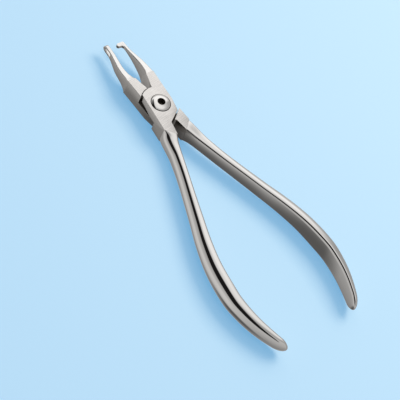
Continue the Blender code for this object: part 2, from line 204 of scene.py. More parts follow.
def lathe(name, profile):
    """Solid of revolution about Z of a profile of radius and height, both ends on the axis."""
    shape = bmesh.new()
    points = [shape.verts.new((radius, 0.0, height)) for radius, height in profile]
    edges = [shape.edges.new(pair) for pair in zip(points, points[1:])]
    bmesh.ops.spin(shape, geom=points + edges, cent=(0, 0, 0), axis=(0, 0, 1), angle=2 * math.pi,
                   steps=ROUND_SEGMENTS, use_merge=True)
    bmesh.ops.remove_doubles(shape, verts=shape.verts, dist=MERGE_DISTANCE)
    return piece_from(shape, name)


def apply_modifiers(piece):
    """Replaces a piece's mesh by its evaluated one, with no modifier left."""
    bpy.context.view_layer.update()
    graph = bpy.context.evaluated_depsgraph_get()
    mesh = bpy.data.meshes.new_from_object(piece.evaluated_get(graph))
    piece.modifiers.clear()
    piece.data = mesh


def combine(piece, other, operation):
    """Joins another shape to a piece or cuts it away, and removes it."""
    boolean = piece.modifiers.new("combine", "BOOLEAN")
    boolean.operation = operation
    boolean.object = other
    apply_modifiers(piece)
    bpy.data.objects.remove(other, do_unlink=True)


def break_edges(piece, width, segments, angle):
    """Rounds the edges of a piece that bend by more than an angle."""
    bevel = piece.modifiers.new("edge", "BEVEL")
    bevel.width = width
    bevel.segments = segments
    bevel.limit_method = "ANGLE"
    bevel.angle_limit = angle
    apply_modifiers(piece)


def arc(radius, start, end, centre=(0.0, 0.0), step=ARC_STEP):
    """Points of a round stretch from one angle to another."""
    steps = max(2, math.ceil(abs(end - start) / step))
    angles = [start + (end - start) * i / steps for i in range(steps + 1)]
    return [(centre[0] + radius * math.cos(a), centre[1] + radius * math.sin(a)) for a in angles]


def shoulder_line(sign, gap_outer=0.0, gap_inner=0.0):
    """The two ends of the shoulder, moved off the plate by a gap at each end."""
    outer_end = Vector((SHOULDER_OUTER_X, SHOULDER_OUTER_Y))
    inner_end = Vector((SHOULDER_INNER_X, SHOULDER_INNER_Y))
    along = (inner_end - outer_end).normalized()
    off = Vector((-along.y, along.x))
    outer = outer_end + off * gap_outer
    inner = inner_end + off * gap_inner
    return [(outer.x, sign * outer.y), (inner.x, sign * inner.y)]


def block_outline():
    """Plan of a joint block, with the beak at +Y and the handle at -Y."""
    flank_start = math.pi + math.asin(FLANK_AT_JAW / PLATE_RADIUS)
    crotch = math.pi - CROTCH_OPENING / 2
    crotch_radius = PLATE_RADIUS + CROTCH_DEPTH
    return [
        (-JAW_FLAT_LENGTH, JAW_FLAT_OUTER),
        (-PLATE_RADIUS, (JAW_FLAT_OUTER + WAIST_OUTER) / 2),
        (0.0, WAIST_OUTER),
        *shoulder_line(1),
        (HANDLE_ROOT_X, -HANDLE_ROOT_INNER),
        (HANDLE_ROOT_OUTER_X, -FLANK_AT_HANDLE),
        *reversed(arc(PLATE_RADIUS, crotch, flank_start)),
        (crotch_radius * math.cos(crotch), crotch_radius * math.sin(crotch)),
        (-(PLATE_RADIUS + JAW_FLAT_LENGTH) / 2, (JAW_FLAT_INNER + CROTCH_DEPTH) / 2),
        (-JAW_FLAT_LENGTH, JAW_FLAT_INNER),
    ]


def lap_outline():
    """Space that the other half's plate takes."""
    reach = PLATE_RADIUS + PLATE_GAP
    beyond = JAW_FLAT_OUTER * 2
    side = math.radians(100.0)
    shoulder = shoulder_line(-1, SHOULDER_GAP_OUTER, SHOULDER_GAP_INNER)
    along = (Vector(shoulder[0]) - Vector(shoulder[1])).normalized()
    far_outer = Vector(shoulder[0]) + along * JAW_FLAT_OUTER
    far_inner = Vector(shoulder[1]) - along * JAW_FLAT_OUTER
    return [
        *arc(reach, side, 2 * math.pi - side),
        (reach * math.cos(side), -beyond),
        (far_outer.x, far_outer.y - beyond),
        tuple(far_outer),
        tuple(far_inner),
        (far_inner.x, beyond),
        (reach * math.cos(side), beyond),
    ]


def rounded_corner(centre, radius, start):
    """Quarter circle of a section's corner, from the angle start."""
    return arc(radius, start, start + math.pi / 2, centre, CORNER_STEP)


def beak_ring(distance, outer, inner, breadth):
    """Section of a beak, a rectangle with round edges."""
    edge = min(BEAK_EDGE, breadth * BEAK_EDGE_SHARE, (outer - inner) * BEAK_EDGE_SHARE)
    top = breadth / 2 - edge
    points = rounded_corner((outer - edge, top), edge, 0.0)
    points += rounded_corner((inner + edge, top), edge, math.pi / 2)
    points += rounded_corner((inner + edge, -top), edge, math.pi)
    points += rounded_corner((outer - edge, -top), edge, 1.5 * math.pi)
    return [(-distance, y, MID_PLANE + z) for y, z in points]


def beak_rings(reach, outer_shape, inner_shape, breadth_shape, end):
    """Sections from inside the joint block out to a distance called end."""
    start = JAW_FLAT_LENGTH - 2 * BEAK_STEP
    rings = []
    steps = 60
    for i in range(steps + 1):
        distance = start + (end - start) * i / steps
        share = (distance - JAW_FLAT_LENGTH) / (reach - JAW_FLAT_LENGTH)
        outer = JAW_FLAT_OUTER * read_shape(outer_shape, share)
        inner = JAW_FLAT_INNER * read_shape(inner_shape, share)
        breadth = JOINT_THICKNESS * read_shape(breadth_shape, share)
        rings.append(beak_ring(distance, outer, inner, breadth))
    return rings


def slot_beak():
    """Beak of the slot half, closed by the round end of its paddle."""
    radius = PADDLE_BREADTH / 2
    centre = SLOT_BEAK_REACH - radius
    rings = beak_rings(SLOT_BEAK_REACH, SLOT_BEAK_OUTER, SLOT_BEAK_INNER, SLOT_BEAK_BREADTH, centre)
    outer = JAW_FLAT_OUTER * SLOT_BEAK_OUTER[-1][1]
    inner = JAW_FLAT_INNER * SLOT_BEAK_INNER[-1][1]
    end_steps = 15
    last_turn = math.radians(88.0)
    for i in range(1, end_steps + 1):
        turn = last_turn * i / end_steps
        breadth = PADDLE_BREADTH * math.cos(turn)
        rings.append(beak_ring(centre + radius * math.sin(turn), outer, inner, breadth))
    return loft("slot_beak", rings)


def slot_ring(depth, grow):
    """Outline of the slot at a depth across the paddle, grown all round."""
    radius = SLOT_WIDTH / 2 + grow
    left = SLOT_END_WALL + SLOT_WIDTH / 2 - SLOT_BEAK_REACH
    right = left + SLOT_LENGTH - SLOT_WIDTH
    outline = arc(radius, math.pi / 2, 1.5 * math.pi, (left, 0.0))
    outline += arc(radius, -math.pi / 2, math.pi / 2, (right, 0.0))
    return [(x, depth, MID_PLANE + across) for x, across in outline]


def slot_cutter():
    """Cutter of the slot, with its edges broken on both sides of the paddle."""
    inner = JAW_FLAT_INNER * SLOT_BEAK_INNER[-1][1]
    outer = JAW_FLAT_OUTER * SLOT_BEAK_OUTER[-1][1]
    depths = (0.0, inner + SLOT_EDGE, outer - SLOT_EDGE, 2 * outer)
    grows = (inner + SLOT_EDGE, 0.0, 0.0, outer + SLOT_EDGE)
    return loft("slot", [slot_ring(depth, grow) for depth, grow in zip(depths, grows)])


def grip_ring(inner, outer, breadth, squareness, back_squareness, back_depth):
    """D section of a handle: nearly flat inside with round edges, and a crowned outside. Its back
    half may be squarer and deeper than its front half."""
    reach = breadth / 2
    thickness = (outer - inner).length
    edge = min(HANDLE_EDGE, reach * HANDLE_EDGE_SHARE, thickness * HANDLE_EDGE_SHARE)
    points = []
    crown_steps = 40
    for i in range(crown_steps + 1):
        angle = math.pi * i / crown_steps
        power = 2 / (squareness if i < crown_steps / 2 else back_squareness)
        out = edge + (thickness - edge) * max(math.sin(angle), 0.0) ** power
        across = math.copysign(abs(math.cos(angle)) ** power, math.cos(angle)) * reach
        points.append((out, across))
    corner_steps = 10
    turns = [math.pi / 2 * i / corner_steps for i in range(corner_steps + 1)]
    sides = [edge * max(math.sin(turn), 0.0) ** (2 / EDGE_FULLNESS) for turn in turns]
    for side, ahead in zip(sides[1:], reversed(sides[:-1])):
        points.append((edge - side, -reach + edge - ahead))
    flat = reach - edge
    flat_steps = 8
    for i in range(1, flat_steps):
        across = flat * (2 * i / flat_steps - 1)
        points.append((-INSIDE_CROWN * (1 - (across / flat) ** 2) * edge / HANDLE_EDGE, across))
    for side, ahead in zip(sides[:-1], reversed(sides[1:])):
        points.append((edge - ahead, reach - edge + side))
    direction = (outer - inner).normalized()
    ring = []
    for out, across in points:
        place = inner + direction * out
        depth = across if across > 0 else across * back_depth
        ring.append((place.x, -place.y, MID_PLANE + depth))
    return ring


def handle_share(distance):
    """Share of the way from a handle's root to its end."""
    return (distance - HANDLE_ROOT_X) / (HANDLE_REACH - HANDLE_ROOT_X)


def handle_inner(distance):
    """Inner edge of a handle in plan, which runs on straight past its ends."""
    share = handle_share(distance)
    inside = min(max(share, 0.0), 1.0)
    slope = shape_slope(HANDLE_INNER, 0 if share < 0.5 else len(HANDLE_INNER) - 1)
    return HANDLE_BOW * (read_shape(HANDLE_INNER, inside) + slope * (share - inside))


def handle_edges(distance):
    """Inner and outer edge of a handle in plan, seen as if the handle lay at +Y."""
    inner = Vector((distance, handle_inner(distance)))
    step = HANDLE_END_LENGTH / 8
    slope = (handle_inner(distance + step) - handle_inner(distance - step)) / (2 * step)
    thickness = HANDLE_THICKNESS * read_shape(HANDLE_THICK, handle_share(distance))
    square = Vector((-slope, 1.0)).normalized() * thickness
    root = Vector((HANDLE_ROOT_OUTER_X - HANDLE_ROOT_X, FLANK_AT_HANDLE - HANDLE_ROOT_INNER))
    part = min((distance - HANDLE_ROOT_X) / SCOOP_LENGTH, 1.0)
    blend = part * part * (3 - 2 * part)
    return inner, inner + root * (1 - blend) + square * blend


def handle_squareness(distance, fade):
    """Squareness of a handle's section, which eases from the root's rectangle to the D."""
    rest = ROOT_SQUARENESS - HANDLE_SQUARENESS
    return HANDLE_SQUARENESS + rest * math.exp((HANDLE_ROOT_X - distance) / fade)


def handle_ring(distance, share=1.0, shift=0.0):
    """Section of a handle, narrowed to a share of its size about its middle."""
    along = handle_share(distance)
    inner, outer = handle_edges(distance)
    middle = (inner + outer) / 2
    inner = middle + (inner - middle) * share + Vector((shift, 0.0))
    outer = middle + (outer - middle) * share + Vector((shift, 0.0))
    breadth = HANDLE_BREADTH * read_shape(HANDLE_BROAD, along) * share
    front = handle_squareness(distance, FRONT_FADE)
    back = handle_squareness(distance, BACK_FADE)
    return grip_ring(inner, outer, breadth, front, back, read_shape(HANDLE_BACK, along))


def handle():
    """Handle, with its rings closer together near the root, and a blunt round end."""
    straight = HANDLE_REACH - HANDLE_END_LENGTH
    rings = [handle_ring(HANDLE_ROOT_X, shift=-2 * BEAK_STEP)]
    run_steps = 130
    crowding = 1.5
    for i in range(run_steps + 1):
        along = (i / run_steps) ** crowding
        rings.append(handle_ring(HANDLE_ROOT_X + (straight - HANDLE_ROOT_X) * along))
    end_steps = 18
    last_turn = math.radians(89.0)
    for i in range(1, end_steps + 1):
        turn = last_turn * i / end_steps
        rings.append(handle_ring(straight + HANDLE_END_LENGTH * math.sin(turn), math.cos(turn)))
    return loft("handle", rings)


def joint_block(name):
    """Block of the joint with its edges broken."""
    block = plate(name, block_outline(), 0.0, JOINT_THICKNESS)
    break_edges(block, EDGE_BREAK, segments=3, angle=math.radians(50.0))
    return block


def forging(name, beak_parts, cutters):
    """One forging in the front half's place: block, handle and beak, with the lap cut away."""
    piece = joint_block(name)
    for part in (handle(), *beak_parts):
        combine(piece, part, "UNION")
    lap = plate("lap", lap_outline(), -JOINT_THICKNESS, MID_PLANE + LAP_CLEARANCE / 2)
    combine(piece, lap, "DIFFERENCE")
    for cutter in cutters:
        combine(piece, cutter, "DIFFERENCE")
    return piece


def finish_mesh(piece):
    """Merges stray points and shades a piece smooth between its real edges."""
    shape = bmesh.new()
    shape.from_mesh(piece.data)
    bmesh.ops.remove_doubles(shape, verts=shape.verts, dist=2 * MERGE_DISTANCE)
    bmesh.ops.triangulate(shape, faces=[face for face in shape.faces if len(face.verts) > 4])
    shape.to_mesh(piece.data)
    shape.free()
    piece.data.shade_smooth()
    piece.data.set_sharp_from_angle(angle=SHARP_ANGLE)


def turn_over(piece):
    """Turns a forging made in the front half's place over to the rear half's."""
    piece.data.transform(Matrix.Translation((0, 0, JOINT_THICKNESS)) @ Matrix.Rotation(math.pi, 4, "X"))


SHANK_DIAMETER = 4.8 * MM
SHANK_RADIAL_GAP = 0.15 * MM
HEAD_DIAMETER = 7.8 * MM
HEAD_SINK = 0.8 * MM
HEAD_RADIAL_GAP = 0.15 * MM
PAINTED_SHADE_LENGTH = 6.5 * MM

# How far a face's normal points along an axis, which tells its finish and its painted shade
FLAT_NORMAL = 0.9
SIDE_NORMAL = 0.7
INSIDE_NORMAL = 0.6
WALL_NORMAL = 0.3
SHOULDER_NORMAL = (0.75, 0.92)


def bore_cutter():
    """Cutter of the hole that the screw's shank passes."""
    radius = SHANK_DIAMETER / 2 + SHANK_RADIAL_GAP
    top = 2 * JOINT_THICKNESS
    return lathe("bore", [(0, top), (radius, top), (radius, -top), (0, -top)])


def straighten(piece):
    """Stores places in which the bowed handle lies straight, for grain that runs along it."""
    places = piece.data.attributes.new("straightened", "FLOAT_VECTOR", "POINT")
    for vertex, place in zip(piece.data.vertices, places.data):
        x, y, z = vertex.co
        bow = handle_inner(x) - HANDLE_ROOT_INNER if x > HANDLE_ROOT_X else 0.0
        place.vector = (x, y + bow, z)


def ground_flat(face):
    """Whether a face belongs to the joint's ground flats."""
    in_joint = -JAW_FLAT_LENGTH < face.center.x < HANDLE_ROOT_X
    return in_joint and abs(face.normal.z) > FLAT_NORMAL


def in_the_lap(face):
    """Whether a face lies where the halves bear on each other, in the bore or in the head's seat."""
    radius = math.hypot(face.center.x, face.center.y)
    on_lap = face.normal.z < -FLAT_NORMAL and abs(face.center.z - MID_PLANE) < LAP_CLEARANCE
    in_bore = radius < SHANK_DIAMETER / 2 + 2 * SHANK_RADIAL_GAP
    below_rim = face.center.z < JOINT_THICKNESS - EDGE_BREAK
    in_seat = below_rim and radius < HEAD_DIAMETER / 2 + 2 * HEAD_RADIAL_GAP
    return on_lap or in_bore or in_seat


def in_a_gap(face):
    """Whether a face is a wall of the narrow gaps round the plates."""
    if abs(face.normal.z) > WALL_NORMAL:
        return False
    radius = math.hypot(face.center.x, face.center.y)
    off_plate = abs(radius - PLATE_RADIUS - PLATE_GAP / 2)
    round_wall = face.center.x < SHOULDER_OUTER_X and off_plate < PLATE_GAP
    by_shoulder = SHOULDER_OUTER_X < face.center.x < SHOULDER_INNER_X + 2 * SHOULDER_GAP_INNER
    along_shoulder = SHOULDER_NORMAL[0] < abs(face.normal.x) < SHOULDER_NORMAL[1]
    return round_wall or (by_shoulder and along_shoulder)


def forging_finish_and_shade(face):
    """Finish of a face of a forging: it is polished from a border that slants across the handle's root.
    Painted shade darkens the inner faces between the handle roots, the walls of the gaps round the plates,
    the faces of the lap, bore and head seat, and the steep sides."""
    slant = (HANDLE_ROOT_X - HANDLE_ROOT_OUTER_X) / (FLANK_AT_HANDLE - HANDLE_ROOT_INNER)
    border = HANDLE_ROOT_X + min(face.center.y + HANDLE_ROOT_INNER, 0.0) * slant
    past_shoulder = face.center.x > SHOULDER_INNER_X - 2 * SHOULDER_GAP_INNER
    inside = face.normal.y > INSIDE_NORMAL and past_shoulder
    # Inner faces between the handle roots take dark steel for painted shade, which fades out along the
    # handle.
    if inside and face.center.x < HANDLE_ROOT_X + PAINTED_SHADE_LENGTH:
        return painted_shade
    if face.center.x > border:
        return polished
    # Faces of the lap, the bore and the head's seat take near-black steel for painted shade.
    if in_the_lap(face):
        return recess_shade
    # Walls of the gaps round the plates take dark steel for painted shade.
    if in_a_gap(face):
        return painted_shade
    if ground_flat(face):
        return brushed
    # Flatter faces take satin steel, and steep side faces a darker copy of it, which is painted shade.
    if abs(face.normal.z) > SIDE_NORMAL:
        return satin
    return side_shade_satin


def dress(piece, materials, finish_and_shade_of):
    """Gives a piece its materials, and each face the one that its finish and painted shade ask for."""
    piece.data.materials.clear()
    for material in materials:
        piece.data.materials.append(material)
    for face in piece.data.polygons:
        face.material_index = materials.index(finish_and_shade_of(face))


# Colour of the painted highlight laid along the edges of every piece, and how far the bevelled normal must
# turn from the face's for it to show in full.
EDGE_HIGHLIGHT_COLOUR = (0.93, 0.92, 0.91)
HIGHLIGHT_NORMAL = 0.85
CLOUD_SIZE = 6.0 * MM
NOISE_RANGE = (0.3, 0.7)
ROUGHNESS_SPREAD = 0.15


def group_socket(group, name, direction, kind="NodeSocketFloat"):
    return group.interface.new_socket(name, in_out=direction, socket_type=kind)


def feed(tree, value, socket):
    """Links a socket to value where that is an output, or else sets it to that plain value."""
    if isinstance(value, bpy.types.NodeSocket):
        tree.links.new(value, socket)
    else:
        socket.default_value = value


def mapped(tree, value, start, end, low=0.0, high=1.0, easing="LINEAR"):
    """How far a value has come from start to end, as a number from low to high."""
    scale = tree.nodes.new("ShaderNodeMapRange")
    scale.interpolation_type = easing
    sockets = ("Value", "From Min", "From Max", "To Min", "To Max")
    for name, given in zip(sockets, (value, start, end, low, high)):
        feed(tree, given, scale.inputs[name])
    return scale.outputs["Result"]


def mixed(tree, factor, first, second, kind="RGBA"):
    """Blend of two colours, or of two numbers where kind is FLOAT."""
    mix = tree.nodes.new("ShaderNodeMix")
    mix.data_type = kind
    feed(tree, factor, mix.inputs["Factor"])
    for name, value in (("A", first), ("B", second)):
        feed(tree, (*value, 1.0) if isinstance(value, tuple) else value, mix.inputs[name])
    return mix.outputs["Result"]


def worked_out(tree, operation, *values):
    """Result of one operation on numbers."""
    step = tree.nodes.new("ShaderNodeMath")
    step.operation = operation
    for value, socket in zip(values, step.inputs):
        feed(tree, value, socket)
    return step.outputs["Value"]


def dot_product(tree, first, second):
    """How far two directions agree."""
    product = tree.nodes.new("ShaderNodeVectorMath")
    product.operation = "DOT_PRODUCT"
    feed(tree, first, product.inputs[0])
    feed(tree, second, product.inputs[1])
    return product.outputs["Value"]


def grain_group():
    """Long fine marks of a belt or a wheel along the X of the place that is given, and wide soft
    clouds, both from 0 to 1."""
    group = bpy.data.node_groups.new("metal_grain", "ShaderNodeTree")
    group_socket(group, "Place", "INPUT", "NodeSocketVector")
    group_socket(group, "Mark Length", "INPUT")
    group_socket(group, "Mark Width", "INPUT")
    group_socket(group, "Marks", "OUTPUT")
    group_socket(group, "Clouds", "OUTPUT")
    nodes = group.nodes
    link = group.links.new
    given = nodes.new("NodeGroupInput")
    out = nodes.new("NodeGroupOutput")
    shape = nodes.new("ShaderNodeCombineXYZ")
    link(given.outputs["Mark Length"], shape.inputs["X"])
    link(given.outputs["Mark Width"], shape.inputs["Y"])
    link(given.outputs["Mark Width"], shape.inputs["Z"])
    divide = nodes.new("ShaderNodeVectorMath")
    divide.operation = "DIVIDE"
    link(given.outputs["Place"], divide.inputs[0])
    link(shape.outputs["Vector"], divide.inputs[1])
    marks = nodes.new("ShaderNodeTexNoise")
    marks.inputs["Scale"].default_value = 1.0
    marks.inputs["Detail"].default_value = 3.0
    marks.inputs["Roughness"].default_value = 0.65
    link(divide.outputs["Vector"], marks.inputs["Vector"])
    link(marks.outputs["Fac"], out.inputs["Marks"])
    clouds = nodes.new("ShaderNodeTexNoise")
    clouds.inputs["Scale"].default_value = 1.0 / CLOUD_SIZE
    clouds.inputs["Detail"].default_value = 2.0
    link(given.outputs["Place"], clouds.inputs["Vector"])
    link(clouds.outputs["Fac"], out.inputs["Clouds"])
    return group


def edge_highlight_group():
    """Mask of a painted highlight, a brighter metal colour along the edges of a piece."""
    group = bpy.data.node_groups.new("edge_highlight", "ShaderNodeTree")
    group_socket(group, "Width", "INPUT")
    group_socket(group, "Amount", "INPUT")
    group_socket(group, "Mask", "OUTPUT")
    nodes = group.nodes
    given = nodes.new("NodeGroupInput")
    rounded = nodes.new("ShaderNodeBevel")
    rounded.samples = 6
    feed(group, given.outputs["Width"], rounded.inputs["Radius"])
    surface = nodes.new("ShaderNodeNewGeometry").outputs["Normal"]
    agreement = dot_product(group, rounded.outputs["Normal"], surface)
    mask = mapped(group, agreement, 1.0, HIGHLIGHT_NORMAL, high=given.outputs["Amount"])
    feed(group, mask, nodes.new("NodeGroupOutput").inputs["Mask"])
    return group


def steel(name, colour, roughness, turn=0.0, mark_length=10.0 * MM, mark_width=0.4 * MM, contrast=0.1,
          relief=0.004 * MM, edge=(0.3 * MM, 0.5), attribute=None, fade=None):
    """Steel with grain along an attribute's X, or along X turned in plan, and a painted highlight along its
    edges of a width and an amount. It may fade into another colour and roughness between two places on X."""
    material = bpy.data.materials.new(name)
    material.use_nodes = True
    tree = material.node_tree
    nodes = tree.nodes
    link = tree.links.new
    shader = nodes["Principled BSDF"]
    shader.inputs["Metallic"].default_value = 1.0
    if attribute:
        source = nodes.new("ShaderNodeAttribute")
        source.attribute_name = attribute
        place = source.outputs["Vector"]
    else:
        place = nodes.new("ShaderNodeTexCoord").outputs["Object"]
    mapping = nodes.new("ShaderNodeMapping")
    mapping.inputs["Rotation"].default_value = (0.0, 0.0, turn)
    link(place, mapping.inputs["Vector"])
    grain = nodes.new("ShaderNodeGroup")
    grain.node_tree = metal_grain
    link(mapping.outputs["Vector"], grain.inputs["Place"])
    grain.inputs["Mark Length"].default_value = mark_length
    grain.inputs["Mark Width"].default_value = mark_width
    marks = grain.outputs["Marks"]
    highlight = nodes.new("ShaderNodeGroup")
    highlight.node_tree = edge_highlight
    highlight.inputs["Width"].default_value = edge[0]
    highlight.inputs["Amount"].default_value = edge[1]
    dark = tuple(share * (1 - contrast) for share in colour)
    light = tuple(min(share * (1 + contrast), 1.0) for share in colour)
    tone = mixed(tree, mapped(tree, marks, *NOISE_RANGE), dark, light)
    # Edges are lightened towards that colour: a painted highlight.
    tone = mixed(tree, highlight.outputs["Mask"], tone, EDGE_HIGHLIGHT_COLOUR)
    change = ROUGHNESS_SPREAD * roughness
    cloudy = mapped(tree, grain.outputs["Clouds"], *NOISE_RANGE, -change, change)
    streaky = mapped(tree, marks, *NOISE_RANGE, roughness - change, roughness + change)
    finish = worked_out(tree, "ADD", cloudy, streaky)
    if fade:
        start, end, far_colour, far_roughness = fade
        along = nodes.new("ShaderNodeSeparateXYZ")
        link(place, along.inputs[0])
        passed = mapped(tree, along.outputs["X"], start, end)
        tone = mixed(tree, passed, tone, far_colour)
        finish = mixed(tree, passed, finish, far_roughness, kind="FLOAT")
    link(tone, shader.inputs["Base Color"])
    link(finish, shader.inputs["Roughness"])
    bump = nodes.new("ShaderNodeBump")
    bump.inputs["Strength"].default_value = 1.0
    bump.inputs["Distance"].default_value = relief
    link(marks, bump.inputs["Height"])
    link(bump.outputs["Normal"], shader.inputs["Normal"])
    return material


HANDLE_COLOUR = (0.88, 0.87, 0.86)
HANDLE_ROUGHNESS = 0.045
metal_grain = grain_group()
edge_highlight = edge_highlight_group()
satin = steel("satin_steel", (0.95, 0.94, 0.93), 0.20, contrast=0.04, attribute="straightened")
# A darker copy of the satin steel, for painted shade on the steep sides.
side_shade_satin = steel("painted_side_shade_steel", (0.62, 0.605, 0.59), 0.20, contrast=0.05, edge=(0.25 * MM, 0.35),
             attribute="straightened")
# Dark steel for painted shade, fading into the polished handle's colour and roughness along the handle.
painted_shade = steel("painted_shade_steel", (0.26, 0.245, 0.23), 0.22, contrast=0.08, edge=(0.25 * MM, 0.3),
                attribute="straightened",
                fade=(SHOULDER_INNER_X, HANDLE_ROOT_X + PAINTED_SHADE_LENGTH, HANDLE_COLOUR, HANDLE_ROUGHNESS))
brushed = steel("brushed_steel", (0.82, 0.80, 0.785), 0.26, turn=math.radians(80.0), mark_length=5.0 * MM,
                mark_width=0.3 * MM, contrast=0.11, relief=0.005 * MM)
# Near-black steel for painted shade in the lap, bore, head seat, screw socket and on the screw head's wall.
recess_shade = steel("painted_recess_shade_steel", (0.10, 0.09, 0.08), 0.45, edge=(0.1 * MM, 0.0), attribute="straightened")
polished = steel("polished_handle", HANDLE_COLOUR, HANDLE_ROUGHNESS, contrast=0.02, relief=0.0006 * MM,
                 mark_length=14.0 * MM, mark_width=0.5 * MM, attribute="straightened")

finishes_and_shades = [satin, brushed, polished, recess_shade, side_shade_satin, painted_shade]

slot_half = forging("slot_half_finished", [slot_beak()], [bore_cutter(), slot_cutter()])
finish_mesh(slot_half)
straighten(slot_half)
dress(slot_half, finishes_and_shades, forging_finish_and_shade)
turn_over(slot_half)
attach(slot_half, "slot_half")
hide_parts("slot_half")

# Peg half: the front forging, of the same blank turned over. Its beak ends in a peg with a
# round end, bent square to the beak, and the seat for the screw's head is counterbored.

PEG_BEAK_REACH = -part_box("peg_half")[0].x
PEG_WIDTH = 1.7 * MM
PEG_BREADTH = 1.4 * MM
PEG_END = 1.8 * MM
PEG_FILLET = 0.8 * MM
PEG_ROUND = 0.35 * MM
UNDERSIDE_NORMAL = 0.5
PEG_BEAK_OUTER = ((0.0, 1.0), (0.2, 1.02), (0.4, 1.01), (0.55, 0.965), (0.75, 0.9), (1.0, 0.86))
PEG_BEAK_INNER = ((0.0, 1.02), (0.08, 1.26), (0.18, 1.43), (0.3, 1.55), (0.5, 1.63), (0.7, 1.62), (1.0, 1.55))
PEG_BEAK_BREADTH = ((0.0, 0.925), (0.08, 0.885), (0.18, 0.775), (0.39, 0.575), (0.5, 0.46), (0.6, 0.365),
                    (0.7, 0.28), (0.81, 0.215), (1.0, 0.178))


def peg_beak():
    """Beak of the peg half, without its peg."""
    shapes = (PEG_BEAK_OUTER, PEG_BEAK_INNER, PEG_BEAK_BREADTH)
    return loft("peg_beak", beak_rings(PEG_BEAK_REACH, *shapes, PEG_BEAK_REACH - BEAK_EDGE))


def peg():
    """Round-ended peg with a fillet where it leaves the beak."""
    radius = PEG_WIDTH / 2
    outer = JAW_FLAT_OUTER * PEG_BEAK_OUTER[-1][1]
    inner = JAW_FLAT_INNER * PEG_BEAK_INNER[-1][1]
    centre = (radius - PEG_BEAK_REACH, PEG_END + radius)
    fillet_centre = (PEG_WIDTH + PEG_FILLET - PEG_BEAK_REACH, inner - PEG_FILLET)
    cover = (outer + inner) / 2
    outline = [
        (BEAK_EDGE - PEG_BEAK_REACH, outer - EDGE_BREAK),
        (-PEG_BEAK_REACH, outer - BEAK_EDGE),
        *arc(radius, math.pi, 2 * math.pi, centre),
        *arc(PEG_FILLET, math.pi, math.pi / 2, fillet_centre),
        (fillet_centre[0], cover),
        (PEG_WIDTH - PEG_BEAK_REACH, outer - EDGE_BREAK),
    ]
    low = MID_PLANE - PEG_BREADTH / 2
    piece = plate("peg", outline, low, low + PEG_BREADTH)
    break_edges(piece, PEG_ROUND, segments=5, angle=math.radians(60.0))
    return piece


def head_seat():
    """Cutter of the screw head's seat, with its rim chamfered."""
    radius = HEAD_DIAMETER / 2 + HEAD_RADIAL_GAP
    top = 2 * JOINT_THICKNESS
    rim = JOINT_THICKNESS - EDGE_BREAK
    seat_floor = JOINT_THICKNESS - HEAD_SINK
    return lathe("head_seat", [
        (0, top),
        (radius + top - rim, top),
        (radius, rim),
        (radius, seat_floor),
        (0, seat_floor),
    ])


def peg_finish_and_shade(face):
    """Finish of a face of the peg half, with painted shade on the underside of the peg."""
    on_peg = face.center.x < PEG_WIDTH + PEG_FILLET - PEG_BEAK_REACH
    if on_peg and face.normal.y < -UNDERSIDE_NORMAL:
        return painted_shade
    return forging_finish_and_shade(face)


peg_half = forging("peg_half_finished", [peg_beak(), peg()], [bore_cutter(), head_seat()])
finish_mesh(peg_half)
straighten(peg_half)
dress(peg_half, finishes_and_shades, peg_finish_and_shade)
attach(peg_half, "peg_half")
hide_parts("peg_half")

# Pivot screw: turned and polished steel, with a domed head and a driver socket. Its shank
# passes the front plate, is threaded into the rear one and ends flush with the back.

HEAD_RIM = 0.95 * MM
HEAD_DOME = 0.6 * MM
HEAD_WALL = 0.62 * MM
DOME_ROUND = 0.45
DOME_POWER = 6
SEAT_GAP = 0.3 * MM
HEAD_UNDERSIDE = JOINT_THICKNESS - HEAD_SINK + SEAT_GAP
HEAD_TOP = HEAD_UNDERSIDE + HEAD_RIM + HEAD_DOME
SCREW_CHAMFER = 0.3 * MM
SOCKET_ACROSS_FLATS = 2.5 * MM
SOCKET_MOUTH = 1.65 * MM
SOCKET_DEPTH = 2.2 * MM
MOUTH_LIP = 0.12 * MM
THREAD_PITCH = 0.7 * MM
THREAD_RIDGE = 0.1 * MM
THREAD_TURN_STEPS = 48
THREAD_SIDES = 3


def screw_profile():
    """Half section of the screw: a dome that falls faster towards its rim, the head and shank."""
    head = HEAD_DIAMETER / 2
    shank = SHANK_DIAMETER / 2
    crown = HEAD_DOME + HEAD_RIM - HEAD_WALL
    profile = []
    crown_steps = 40
    for i in range(crown_steps + 1):
        share = i / crown_steps
        drop = DOME_ROUND * share ** 2 + (1 - DOME_ROUND) * share ** DOME_POWER
        profile.append((head * share, HEAD_TOP - crown * drop))
    profile += [(head, HEAD_UNDERSIDE), (shank, HEAD_UNDERSIDE), (shank, SCREW_CHAMFER)]
    profile += [(shank - SCREW_CHAMFER, 0.0), (0.0, 0.0)]
    return profile


def socket_cutters():
    """Cutters of the hexagon socket and of the round mouth above it."""
    clear = HEAD_TOP + HEAD_DOME
    reach = SOCKET_ACROSS_FLATS / 2 / math.cos(math.pi / 6)
    turns = [i * math.pi / 3 for i in range(6)]
    corners = [(reach * math.cos(turn), reach * math.sin(turn)) for turn in turns]
    hexagon = plate("socket", corners, HEAD_TOP - SOCKET_DEPTH, clear)
    mouth_floor = HEAD_TOP - SOCKET_DEPTH / 2
    mouth = lathe("mouth", [
        (0, clear),
        (SOCKET_MOUTH + HEAD_DOME, clear),
        (SOCKET_MOUTH, HEAD_TOP - MOUTH_LIP),
        (SOCKET_MOUTH - MOUTH_LIP, mouth_floor),
        (0, mouth_floor),
    ])
    return [hexagon, mouth]


def screw_finish_and_shade(face):
    """Finish of a face of the screw, with painted shade in the socket and on the wall of the head."""
    radius = math.hypot(face.center.x, face.center.y)
    in_socket = radius < SOCKET_MOUTH and SCREW_CHAMFER < face.center.z < HEAD_TOP - 2 * MOUTH_LIP
    head_wall = abs(face.normal.z) < WALL_NORMAL and face.center.z > MID_PLANE
    return recess_shade if in_socket or head_wall else turned


